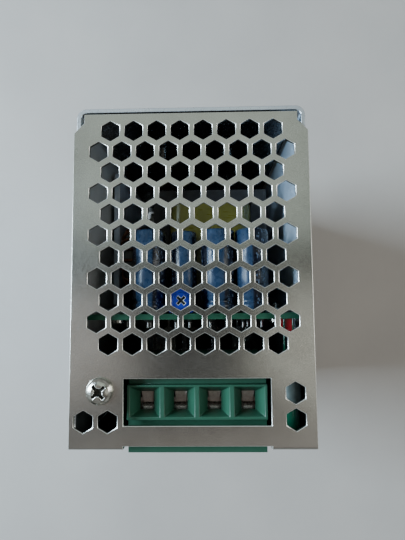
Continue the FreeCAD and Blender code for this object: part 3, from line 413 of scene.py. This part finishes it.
def softened(node, name, width_mm, finishes, pick=None):
    """A copy of a CAD node with small radii on its edges, standing for it.

    pick gets a face and whether it is on a radius, and gives the number of its finish."""
    mesh = nodes[node].data.copy()
    piece = link_mesh(name, mesh)
    work = bmesh.new()
    work.from_mesh(mesh)
    bmesh.ops.remove_doubles(work, verts=work.verts, dist=WELD)
    bmesh.ops.dissolve_limit(work, angle_limit=FLAT, verts=work.verts, edges=work.edges)
    sharp = [edge for edge in work.edges
             if len(edge.link_faces) == 2 and edge.calc_face_angle(0) > SHARP]
    result = bmesh.ops.bevel(work, geom=sharp, offset=width_mm * MM, segments=2, profile=0.5,
                             affect="EDGES", clamp_overlap=False)
    rounds = set(result["faces"])
    for face in work.faces:
        face.smooth = face in rounds
        face.material_index = pick(face, face in rounds) if pick else 0
    mesh.materials.clear()
    for key in finishes:
        mesh.materials.append(finish(key))
    work.to_mesh(mesh)
    work.free()
    hold(piece, node)


def turned(work, uv, profile, centre, rotate, segments=64):
    """Adds a body turned about +Y to a bmesh; a profile point is radius, place, material.

    Its wrap map counts turns from +Z, less rotate, and runs from -0.5 to 0.5."""
    seam = -0.499
    rings = []
    for radius, along, _ in profile:
        ring = []
        for number in range(segments):
            angle = 2 * math.pi * number / segments
            ring.append(work.verts.new((centre[0] + radius * math.sin(angle), centre[1] + along,
                                        centre[2] + radius * math.cos(angle))))
        rings.append(ring)
    for index in range(len(profile) - 1):
        for number in range(segments):
            after = (number + 1) % segments
            face = work.faces.new((rings[index][number], rings[index + 1][number],
                                   rings[index + 1][after], rings[index][after]))
            face.smooth = True
            face.material_index = profile[index + 1][2]
            turns = (number, number, number + 1, number + 1)
            places = (index, index + 1, index + 1, index)
            for loop, turn, at in zip(face.loops, turns, places):
                share = ((turn / segments - rotate + 0.5) % 1.0) - 0.5
                if turn == number + 1 and share < seam:
                    share = 0.5  # a face that ends on the seam stays on its own side
                loop[uv].uv = (share, profile[at][1] / MM)
    for ring, slot in ((rings[0], profile[0][2]), (rings[-1][::-1], profile[-1][2])):
        work.faces.new(ring).material_index = slot


SLEEVE, METAL, RUBBER = 0, 1, 2  # the order of the finishes of a can

# how far in from the radius, how far along from the foot or the end, and the finish; in mm
CAN_FOOT = ((1.4, -0.6, RUBBER), (1.2, 0, RUBBER), (0.8, 0, SLEEVE), (0.25, 0.1, SLEEVE),
            (0, 0.5, SLEEVE), (0, 1.7, SLEEVE), (0.35, 2.2, SLEEVE), (0.45, 2.6, SLEEVE),
            (0.30, 3.0, SLEEVE), (0, 3.6, SLEEVE))
CAN_END = ((0, -0.6, SLEEVE), (0.2, -0.2, SLEEVE), (0.7, 0, SLEEVE), (1.1, 0, SLEEVE),
           (1.2, -0.15, METAL))

# degrees that each sleeve is turned by, which sets where its steel-blue band, a polarity stripe
# and painted highlight, faces
CAN_TURNS = {"output_capacitor_1": -12, "output_capacitor_2": 12, "output_capacitor_3": -10,
             "output_capacitor_4": -33, "input_capacitors": 0}


def cans():
    """Capacitors with a crimped can, a shrunk sleeve, a scored end and a rubber foot."""
    for node, degrees in CAN_TURNS.items():
        low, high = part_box(node)
        count = 2 if node == "input_capacitors" else 1
        radius = (high.z - low.z) / 2
        mesh = bpy.data.meshes.new(node + "_sleeved")
        work = bmesh.new()
        uv = work.loops.layers.uv.new("UVMap")
        length = high.y - low.y
        foot, lead_radius, lead_shift = 0.9 * MM, 0.4 * MM, 2.5 * MM
        profile = [(radius - inset * MM, foot + along * MM, slot)
                   for inset, along, slot in CAN_FOOT]
        profile += [(radius - inset * MM, length + along * MM, slot)
                    for inset, along, slot in CAN_END]
        profile.append((radius * 0.15, length - 0.2 * MM, METAL))
        for number in range(count):
            across = (low.x + radius) if number == 0 else (high.x - radius)
            centre = (across, low.y, (low.z + high.z) / 2)
            turned(work, uv, profile, centre, degrees / 360.0)
            lead = [(lead_radius, 0, METAL), (lead_radius, foot, METAL)]
            for shift in (-lead_shift, lead_shift):
                turned(work, uv, lead, (across + shift, low.y, centre[2]), 0, 12)
        work.to_mesh(mesh)
        work.free()
        for key in ("sleeve_navy", "can_aluminium", "rubber"):
            mesh.materials.append(finish(key))
        hold(link_mesh(node + "_sleeved", mesh), node)


def spring():
    """The latch spring, a copy of its CAD node in spring steel, riding with its body."""
    piece = link_mesh("latch_spring_wound", nodes["latch_spring"].data.copy())
    piece.data.materials.clear()
    piece.data.materials.append(finish("spring_steel"))
    hold(piece, "latch_spring")
    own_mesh(piece)


def sheet_pieces():
    """Folded sheets, mouldings and screws with broken edges."""
    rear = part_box("wrap_cover")[1].y
    rotor_low, rotor_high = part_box("trimmer_rotor")
    hub = (rotor_low + rotor_high) / 2
    screw_low, screw_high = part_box("top_cover_screw")
    stem = (screw_low + screw_high) / 2
    upright, facing = 0.05, 0.9
    hole_wall_area = 5 * MM * MM
    rear_depth = 4 * MM
    rotor_reach, rotor_lip = 2.1 * MM, 0.12 * MM
    screw_reach, screw_lip = 2.4 * MM, 0.45 * MM

    def chassis_finish(face, on_radius):
        """Bright radii, and the darker sheared walls of the holes."""
        if on_radius:
            return 1
        is_hole = abs(face.normal.z) < upright and face.calc_area() < hole_wall_area
        return 2 if is_hole else 0

    def cover_finish(face, on_radius):
        """Matt inside on the left and right walls, with painted blue window light on the right
        and painted shade on the left, and painted shade on the rear wall.
        """
        middle = face.calc_center_median()
        if abs(face.normal.x) > facing and face.normal.x * middle.x < 0:
            return 1 if middle.x > 0 else 2
        return 3 if face.normal.y < -facing and middle.y > rear - rear_depth else 0

    def rotor_finish(face, on_radius):
        """A slot coloured dark as painted shade, with a painted highlight on its lip."""
        middle = face.calc_center_median()
        if (middle - hub).xy.length > rotor_reach:
            return 0
        if middle.z < rotor_high.z - rotor_lip:
            return 2
        return 1 if on_radius else 0

    def screw_finish(face, on_radius):
        """A cross recess coloured dark as painted shade, with a worn lip."""
        middle = face.calc_center_median()
        if (middle - stem).xy.length < screw_reach:
            if middle.z < screw_high.z - screw_lip:
                return 2
            return 1 if on_radius else 0
        return 0

    softened("chassis", "chassis_sheet", 0.12, ("zinc_sheet", "cut_edge", "hole_wall"),
             chassis_finish)
    softened("wrap_cover", "wrap_cover_sheet", 0.18,
             ("cover_sheet", "cover_right_painted_light", "cover_left_painted_shade", "cover_rear_painted_shade"), cover_finish)
    softened("output_terminal_housing", "output_terminal_moulding", 0.14, ("housing_green",))
    softened("input_terminal_housing", "input_terminal_moulding", 0.14, ("housing_green",))
    softened("output_terminal_contacts", "output_contacts_bent", 0.08, ("contact_tin",))
    softened("trimmer_rotor", "trimmer_rotor_worn", 0.13,
             ("trimmer_blue", "lip_painted_highlight", "slot_painted_shade"), rotor_finish)
    softened("top_cover_screw", "top_cover_screw_worn", 0.12,
             ("screw_steel", "worn_lip", "recess"), screw_finish)


# ---------------------------------------------------------------- stage


def floor():
    """A plain pale floor under the object."""
    mesh = bpy.data.meshes.new("floor")
    reach, gap = 1.2, 0.0002
    corners = [(-reach, -reach, 0), (reach, -reach, 0), (reach, reach, 0), (-reach, reach, 0)]
    mesh.from_pydata(corners, [], [(0, 1, 2, 3)])
    plane = link_mesh("floor", mesh)
    plane.location.z = -gap
    mesh.materials.append(surface("floor_paint", (0.33, 0.305, 0.28), (0.37, 0.34, 0.31), 0.0,
                                  (0.6, 0.7), 60.0, 3.0, 0.02))


def softbox(name, place, aim, size, power, colour):
    """An area light at a place, turned to an aim."""
    light = bpy.data.lights.new(name, "AREA")
    light.shape = "RECTANGLE"
    light.size, light.size_y = size
    light.energy = power
    light.color = colour
    lamp = bpy.data.objects.new(name, light)
    bpy.context.scene.collection.objects.link(lamp)
    lamp.location = place
    lamp.rotation_euler = (Vector(aim) - Vector(place)).to_track_quat("-Z", "Y").to_euler()


def studio_walls():
    """A pale surround that darkens overhead."""
    world = bpy.data.worlds.new("studio")
    bpy.context.scene.world = world
    world.use_nodes = True
    tree = world.node_tree
    height = axes(tree, tree.nodes.new("ShaderNodeTexCoord").outputs["Generated"])[2]
    sky = ramp(tree, height, ((0.0, (0.30, 0.30, 0.295)), (0.55, (0.27, 0.275, 0.275)),
                              (0.80, (0.045, 0.042, 0.040))))
    tree.links.new(sky, tree.nodes["Background"].inputs["Color"])


def lights():
    """A cool window on the left, a weak far wall on the right and four soft panels above."""
    middle = (0, 0, TOP)
    side, side_height, panel_height = 0.78, TOP + 0.42, TOP + 0.60
    cool, plain, warm = (0.66, 0.84, 1.0), (0.88, 1.0, 0.93), (1.0, 0.91, 0.86)
    ivory, cream = (1.0, 1.0, 0.96), (1.0, 1.0, 0.92)
    softbox("window", (-side, 0.10, side_height), middle, (0.40, 0.60), 31, cool)
    softbox("far_wall", (side, 0.10, side_height), middle, (0.40, 0.60), 4, ivory)
    softbox("rear_panel", (-0.02, 0.31, panel_height), (-0.02, 0.12, TOP), (0.52, 0.42), 0.40,
            plain)
    softbox("left_panel", (-0.31, -0.10, panel_height), (-0.1, -0.05, TOP), (0.20, 0.34), 0.09,
            warm)
    softbox("right_panel", (0.28, -0.12, panel_height), (0.1, -0.05, TOP), (0.20, 0.40), 0.15,
            cream)
    softbox("front_panel", (0.02, -0.30, panel_height), (0.0, -0.1, TOP), (0.60, 0.16), 0.09,
            warm)


def camera():
    """The camera stands over the output end and looks down its height, a few degrees off."""
    data = bpy.data.cameras.new("camera")
    data.lens = 27.0
    data.sensor_width = 36.0
    data.clip_start = 0.01
    eye = bpy.data.objects.new("camera", data)
    bpy.context.scene.collection.objects.link(eye)
    ahead = Vector((-0.0212, 0.0868, -0.9960)).normalized()
    right = Vector((0.9997, -0.0090, -0.0208))
    right = (right - ahead * right.dot(ahead)).normalized()
    up = right.cross(ahead)
    turn = Matrix((right, up, -ahead)).transposed().to_4x4()
    place = Vector((5.39 * MM, FRONT + 37.74 * MM, TOP + 109.26 * MM))
    eye.matrix_world = Matrix.Translation(place) @ turn
    bpy.context.scene.camera = eye


dress_nodes()
sheet_pieces()
cans()
spring()
floor()
studio_walls()
lights()
camera()
